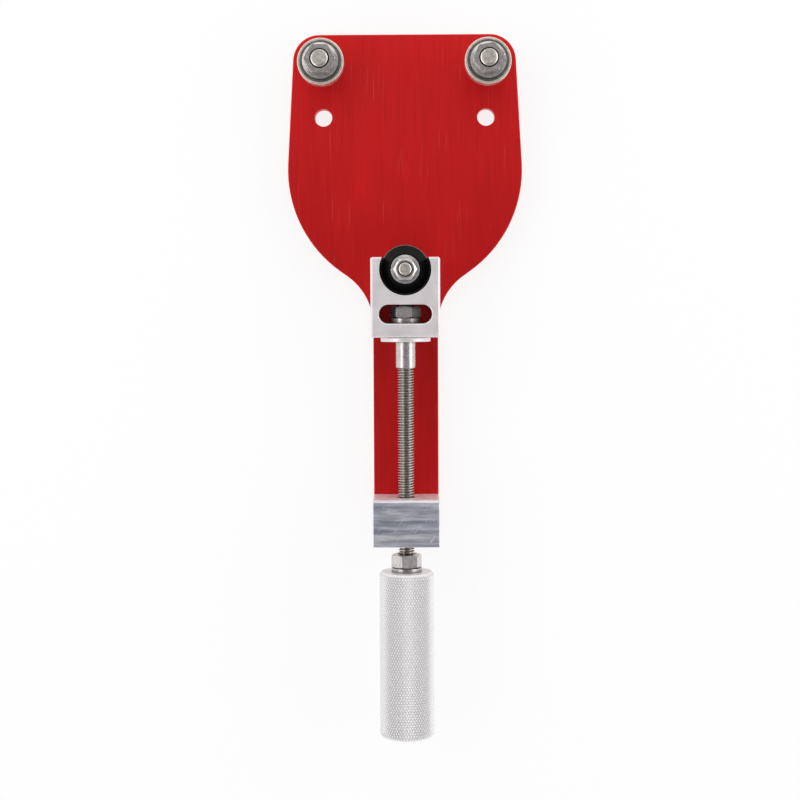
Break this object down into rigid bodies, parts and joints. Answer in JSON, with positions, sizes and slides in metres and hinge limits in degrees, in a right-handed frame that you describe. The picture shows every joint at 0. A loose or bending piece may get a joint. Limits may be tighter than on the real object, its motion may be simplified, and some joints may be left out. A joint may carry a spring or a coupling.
{
  "type": "canister cutter",
  "caption": "Flat plate with fixed roller bearings and a screw-driven cutter wheel on a sliding block, turned by a knurled handle.",
  "frame": {"origin": "under the middle of the whole tool, lying on its back, at the level of its lowest screw heads", "axes": "+Z out of the plate's front, +Y from the handle towards the rollers, +X to the right seen from the front"},
  "size_m": [0.1142, 0.3404, 0.0456],
  "materials": {
    "red_anodised": "satin red anodised, fine lengthwise lines",
    "sawn_aluminium": "bare, sawn and milled",
    "satin_aluminium": "bead-blasted satin",
    "knurled_aluminium": "bright, diamond knurled",
    "zinc_steel": "zinc plated",
    "stainless": "plain stainless",
    "bearing_steel": "ground and polished",
    "shield_steel": "dark pressed steel",
    "black_oxide": "black oxide, oiled",
    "bronze": "plain sintered bronze",
    "cage_nylon": "moulded"
  },
  "bodies": {
    "plate_frame": {"body_plate": "red_anodised", "end_block": "sawn_aluminium", "end_block_screws": "zinc_steel", "end_block_washers": "zinc_steel", "left_roller_bolt": "stainless", "left_roller_spacer": "zinc_steel", "left_bearing_inner_ring": "bearing_steel", "left_roller_shim": "zinc_steel", "left_roller_nut": "stainless", "right_roller_bolt": "stainless", "right_roller_spacer": "zinc_steel", "right_bearing_inner_ring": "bearing_steel", "right_roller_shim": "zinc_steel", "right_roller_nut": "stainless"},
    "carriage": {"slider_block": "satin_aluminium", "keeper_plate": "satin_aluminium", "keeper_screws": "zinc_steel", "cutter_spacer": "zinc_steel", "cutter_bushing": "bronze", "cutter_bolt": "stainless", "cutter_nut": "zinc_steel"},
    "cutter": {"cutter_wheel": "black_oxide"},
    "screw": {"lead_screw": "stainless", "thrust_washer": "satin_aluminium", "thrust_sleeve": "stainless", "rod_end_lock_washer": "zinc_steel", "rod_end_nut": "zinc_steel", "handle": "knurled_aluminium", "handle_jam_nut": "zinc_steel", "handle_lock_washer": "zinc_steel"},
    "left_roller": {"left_bearing_outer_ring": "bearing_steel", "left_bearing_shields": "shield_steel"},
    "left_ball_set": {"left_bearing_balls": "bearing_steel", "left_bearing_cage": "cage_nylon"},
    "right_roller": {"right_bearing_outer_ring": "bearing_steel", "right_bearing_shields": "shield_steel"},
    "right_ball_set": {"right_bearing_balls": "bearing_steel", "right_bearing_cage": "cage_nylon"}
  },
  "joints": [
    {"name": "carriage_slide", "type": "slide", "parent": "plate_frame", "child": "carriage", "axis": [0, 1, 0], "range_m": [-0.06, 0.0045]},
    {"name": "screw_spin", "type": "hinge", "parent": "carriage", "child": "screw", "pos_m": [0, 0, 0.02465], "axis": [0, 1, 0], "range_deg": [-17281, 1297]},
    {"name": "cutter_spin", "type": "hinge", "parent": "carriage", "child": "cutter", "pos_m": [0, 0.0556, 0.03145], "axis": [0, 0, 1], "continuous": true},
    {"name": "left_roller_spin", "type": "hinge", "parent": "plate_frame", "child": "left_roller", "pos_m": [-0.0396, 0.1538, 0.03145], "axis": [0, 0, 1], "continuous": true},
    {"name": "left_ball_set_spin", "type": "hinge", "parent": "plate_frame", "child": "left_ball_set", "pos_m": [-0.0396, 0.1538, 0.03145], "axis": [0, 0, 1], "continuous": true},
    {"name": "right_roller_spin", "type": "hinge", "parent": "plate_frame", "child": "right_roller", "pos_m": [0.0396, 0.1538, 0.03145], "axis": [0, 0, 1], "continuous": true},
    {"name": "right_ball_set_spin", "type": "hinge", "parent": "plate_frame", "child": "right_ball_set", "pos_m": [0.0396, 0.1538, 0.03145], "axis": [0, 0, 1], "continuous": true}
  ],
  "couplings": [
    {"joint": "screw_spin", "follows": "carriage_slide", "rad_per_m": 5026.5},
    {"joint": "left_ball_set_spin", "follows": "left_roller_spin", "ratio": 0.632},
    {"joint": "right_ball_set_spin", "follows": "right_roller_spin", "ratio": 0.632}
  ]
}
